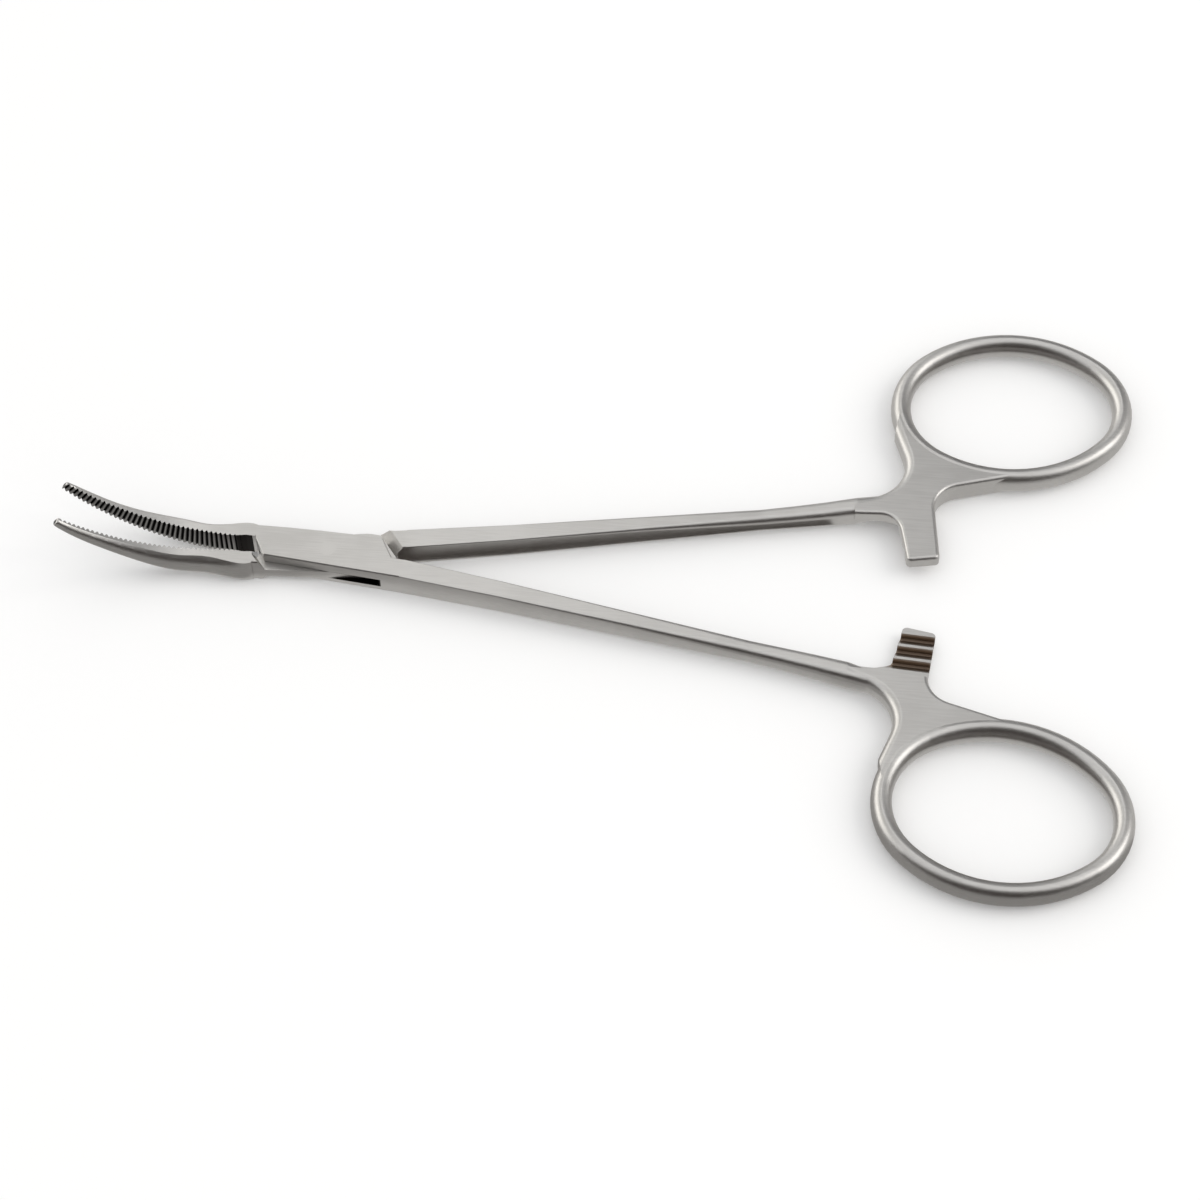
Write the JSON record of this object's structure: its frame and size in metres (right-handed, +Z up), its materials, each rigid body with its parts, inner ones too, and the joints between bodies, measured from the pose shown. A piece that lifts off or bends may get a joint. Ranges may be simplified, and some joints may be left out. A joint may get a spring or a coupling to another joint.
{
  "type": "mosquito forceps",
  "caption": "Curved mosquito forceps with a box lock, cross-serrated tapering jaws, slim shanks, interlocking ratchet bars and oval finger rings.",
  "frame": {"origin": "on the lock pin's axis, in the plane that the flat underside of the forceps lies on", "axes": "+X towards the finger rings, +Y towards the ring of the tongue arm, +Z up, the way that the jaws curve"},
  "size_m": [0.1231, 0.0806, 0.0087],
  "materials": {
    "arm_steel": "satin",
    "pin_steel": "satin"
  },
  "bodies": {
    "box_half": {"box_arm": "arm_steel", "lock_pin": "pin_steel"},
    "tongue_half": {"tongue_arm": "arm_steel"}
  },
  "joints": [
    {"name": "lock_hinge", "type": "hinge", "parent": "box_half", "child": "tongue_half", "pos_m": [0, 0, 0], "axis": [0, 0, 1], "range_deg": [-9.1, 51.4]}
  ]
}
